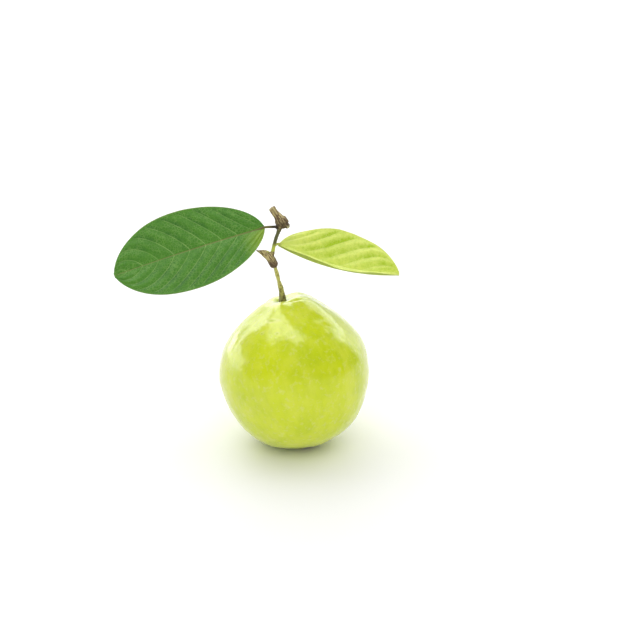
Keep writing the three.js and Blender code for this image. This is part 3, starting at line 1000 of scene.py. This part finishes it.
for leaf in (LARGE_LEAF, YOUNG_LEAF):
    leaf["length"] = leaf_frames(leaf, 1)[1]
    print("A leaf", round(leaf["length"]), "by", round(leaf["left_width"] + leaf["right_width"]), "mm")

# %% [markdown]
# The relief has three parts. The swell between side ribs is a cosine of how many ribs have been
# passed. Each rib sinks a fine groove into the upper face and raises a cord on the lower face.
# The middle rib does the same, only stronger, and thins out towards the tip. A displacement
# texture could draw all this too, but a rule knows exactly where each rib runs.

# %% The relief of a blade, in millimetres
BLADE = 0.55  # thickness
EDGE_TAPER = 0.35  # share of the thickness left at the edge
MIDRIB_WIDTH, MIDRIB_DEPTH, MIDRIB_CORD = 0.9, 0.35, 1.15
RIB_WIDTH, RIB_DEPTH, RIB_CORD = 0.45, 0.14, 0.42
RIB_START = 5.0  # from the middle rib to where the swell between side ribs is full
RIPPLE = 0.22


def ribs_passed(leaf, share, across):
    reach = leaf["left_reach"] if across > 0 else leaf["right_reach"]
    return (share - reach * abs(across) ** leaf["rib_bend"]) * leaf["ribs"] + leaf["rib_offset"]


def leaf_height(leaf, share, across, level):
    """The height of a point of the blade above the plane of its half."""
    outward = outward_at(leaf, share, across)
    passed = ribs_passed(leaf, share, across)
    inside = smooth(0, RIB_START, outward) * (1 - smooth(0.7, 1, abs(across)))
    swell = leaf["swell"] * (0.5 - 0.5 * math.cos(2 * math.pi * passed)) * inside
    wave = leaf["wave"] * across ** 2 * math.sin(share * 11 + (0 if across > 0 else 2))
    ripple = RIPPLE * noise.noise(Vector((share * 9, across * 3, leaf["fold"] * 9))) * abs(across)
    to_rib = abs((passed + 0.5) % 1 - 0.5) * leaf["length"] / leaf["ribs"]
    rib_here = bell(to_rib, 0, RIB_WIDTH) * smooth(0.4, 2.5, outward) * (1 - smooth(0.75, 1, abs(across)))
    mid_here = bell(outward, 0, MIDRIB_WIDTH * (1.15 - 0.8 * share)) * (1 - 0.75 * share)
    sink = RIB_DEPTH * rib_here + MIDRIB_DEPTH * mid_here
    if level == 1:
        return swell + wave + ripple - sink
    thickness = BLADE * (1 - (1 - EDGE_TAPER) * smooth(0.93, 1, abs(across)))
    cord = RIB_CORD * rib_here * (1 - 0.5 * abs(across)) + MIDRIB_CORD * mid_here
    return swell + wave + ripple - thickness - cord


half_way = leaf_height(LARGE_LEAF, 0.5, 0.5, 1)
print("Half way out, the large leaf lies", round(half_way, 2), "mm off the plane of its half")

# %% [markdown]
# Now the grid is put in its place. The finish will have to follow the ribs too, so each vertex
# keeps the numbers that placed it, as attributes: how many ribs have been passed, how far across
# and how far outward it is, the share of the length, and a level of 1 on the upper face and 0 on
# the lower one. The leaf's stalk is a rod under the foot of the middle rib. Its share is set to
# -1, which tells it from the blade.

# %% Place every vertex of a leaf
LEAF_ALONG, LEAF_ACROSS = 250, 112
CROWDING = 1.25  # above 1, the grid is finer near the middle rib
STALK_SHARES = (0.04, 0.10, 0.16)  # where the leaf's stalk runs under the blade
STALK_DEPTH = 0.25  # below the blade, in millimetres


def model_leaf(leaf):
    frames, _ = leaf_frames(leaf, LEAF_ALONG)
    made = bmesh.new()
    names = ("passed", "across", "outward", "share", "level")
    layers = {name: made.verts.layers.float.new(name) for name in names}
    bmesh.ops.create_grid(made, x_segments=LEAF_ALONG, y_segments=LEAF_ACROSS, size=1)
    upper = bmesh.ops.extrude_face_region(made, geom=made.faces[:])["geom"]
    upper = {item for item in upper if isinstance(item, bmesh.types.BMVert)}
    for vertex in made.verts:
        share = vertex.co.x * 0.5 + 0.5
        across = math.copysign(abs(vertex.co.y) ** CROWDING, vertex.co.y)
        level = 1 if vertex in upper else 0
        point, up, side = frames[round(share * LEAF_ALONG)]
        outward = outward_at(leaf, share, across)
        rise = outward * math.sin(leaf["fold"]) + leaf_height(leaf, share, across, level)
        sideways = math.copysign(outward * math.cos(leaf["fold"]), across)
        vertex.co = point + side * sideways + up * rise
        kept = (ribs_passed(leaf, share, across), across, outward, share, level)
        for name, value in zip(names, kept):
            vertex[layers[name]] = value
    under = [frames[round(share * LEAF_ALONG)] for share in STALK_SHARES]
    under = [point - up * (BLADE + STALK_DEPTH) for point, up, _ in under]

    def radius_at(share):
        swell = leaf["foot_swell"] * bell(share, 0.025, 0.02)
        return leaf["stalk_radius"] * (1.15 - 0.55 * share) + swell

    stalk = extrude_rod(made, [leaf["root"], leaf["base"], *under], radius_at, 90, 20)
    for vertex in stalk:
        vertex[layers["share"]] = -1
        vertex[layers["level"]] = 1
    bmesh.ops.recalc_face_normals(made, faces=made.faces)
    return made


large_leaf_mesh = model_leaf(LARGE_LEAF)
young_leaf_mesh = model_leaf(YOUNG_LEAF)
print("Each blade is a grid of", LEAF_ALONG, "by", LEAF_ACROSS, "faces on both sides")

# %% [markdown]
# The finish of a leaf reads those attributes. Ribs are pale and thin, and broken in places. Between
# them a net of veinlets shows, which is made of cell edges, and the hollows beside the ribs are
# painted darker, as painted shade of the quilting. The lower face is duller. On the large leaf it is
# paler, and on the young leaf it is painted darker, as painted shade below the fold. Both leaves
# share one function, and their colours come in as a dictionary.
#
# Both leaves are left out of mirror reflections, because the young leaf's image would hide a roof
# panel of the tent from the fruit's shoulder. They still show, and they still cast shade.

# %% Green blades with ribs and a net of veinlets
LARGE_COLOURS = {
    "blade": (0.076, 0.255, 0.014),
    "shade": (0.042, 0.170, 0.015),
    "rib": (0.260, 0.460, 0.110),
    "midrib": (0.210, 0.230, 0.060),
    "base": (0.330, 0.480, 0.040),
    "under": (0.230, 0.370, 0.140),
    "under rib": (0.420, 0.520, 0.250),
    "edge": (0.230, 0.330, 0.070),
    "stalk": (0.150, 0.140, 0.035),
    "root": (0.045, 0.032, 0.018),
}
YOUNG_COLOURS = {
    "blade": (0.770, 0.850, 0.180),
    "shade": (0.420, 0.600, 0.014),
    "rib": (0.780, 0.860, 0.260),
    "midrib": (0.620, 0.720, 0.140),
    "base": (0.760, 0.840, 0.260),
    "under": (0.400, 0.500, 0.070),
    "under rib": (0.620, 0.700, 0.200),
    "edge": (0.600, 0.680, 0.160),
    # this lower face and its ribs are darker than the upper face: painted shade for the thin line under the
    # fold's edge
    "stalk": (0.520, 0.560, 0.110),
    "root": (0.480, 0.520, 0.090),
}


def leaf_finish(name, leaf, colours):
    finish = Finish(name)
    place = finish.place()
    passed, across = finish.attribute("passed"), finish.attribute("across")
    share, outward = finish.attribute("share"), finish.attribute("outward")
    level, reach = finish.attribute("level"), abs(across)
    since_rib = (passed + 0.5).math("FRACT") - 0.5
    to_rib = abs(since_rib) * (leaf["length"] / leaf["ribs"])
    broken = finish.noise(place, 4.5, 3.0).step(0.36, 0.58)
    rib = (to_rib + reach * 0.12).step(0.42, 0.14) * reach.step(1.0, 0.85) * (0.5 + broken * 0.5)
    midrib = (outward + share * 0.28).step(0.55, 0.30)
    net = finish.cells(place, 1.5, "DISTANCE_TO_EDGE").step(0.12, 0.02)
    # painted shade: each hollow is darkened on one side of its rib, and it fades near the base, the tip and
    # the edge
    hollow_shade = since_rib.step(-0.48, -0.05) * since_rib.step(0.05, 0.0)
    hollow_shade = hollow_shade * reach.step(0.05, 0.55) * reach.step(1.0, 0.85)
    hollow_shade = hollow_shade * share.step(0.05, 0.30) * share.step(1.0, 0.75)
    clouds = finish.noise(place, 11, 4.0).step(0.32, 0.68)
    speckle = finish.noise(place, 1.7, 3.0, 0.6).step(0.38, 0.66)
    # the shade colour takes this painted shade, and also random clouds and specks of darker green
    shade = hollow_shade * (0.25 + clouds * 0.60) + clouds * 0.25 + speckle * 0.30
    colour = finish.mix(shade, colours["blade"], colours["shade"])
    colour = finish.mix(net * (0.10 + broken * 0.25), colour, colours["rib"])
    colour = finish.mix(rib * 0.75, colour, colours["rib"])
    colour = finish.mix(share.step(0.20, 0.0) * across.step(-0.25, 0.45) * 0.7, colour, colours["base"])
    colour = finish.mix(midrib * 0.8, colour, colours["midrib"])
    colour = finish.mix(reach.step(0.965, 1.0) * 0.6, colour, colours["edge"])
    lower = finish.mix(rib * 0.8 + midrib * 0.8 + net * 0.15, colours["under"], colours["under rib"])
    colour = finish.mix(level, lower, colour)
    colour = finish.mix(share.step(-0.2, -0.8), colour, colours["stalk"])
    at_root = finish.distance(place, leaf["root"] * MM).step(6 * MM, 2 * MM)
    colour = finish.mix(at_root, colour, colours["root"])
    finish.set(Base_Color=colour, Roughness=0.66 - level * 0.14 + clouds * 0.10, Specular_IOR_Level=0.28)
    finish.set(Subsurface_Weight=0.06, Subsurface_Radius=(0.6, 1.0, 0.2), Subsurface_Scale=0.8 * MM)
    grain = finish.noise(place, 0.8, 2.0)
    finish.bump(grain * 0.35 - net * 0.5 - rib * 0.6, 0.14, 0.7)
    return finish


for made, name, slot, node, leaf, colours in [
    (large_leaf_mesh, "large_leaf", "leaf_dark", "leaf_large", LARGE_LEAF, LARGE_COLOURS),
    (young_leaf_mesh, "young_leaf", "leaf_pale", "leaf_young", YOUNG_LEAF, YOUNG_COLOURS),
]:
    piece = add_piece(made, name, node, leaf_finish(name, leaf, colours))
    piece.visible_glossy = False

# %% [markdown]
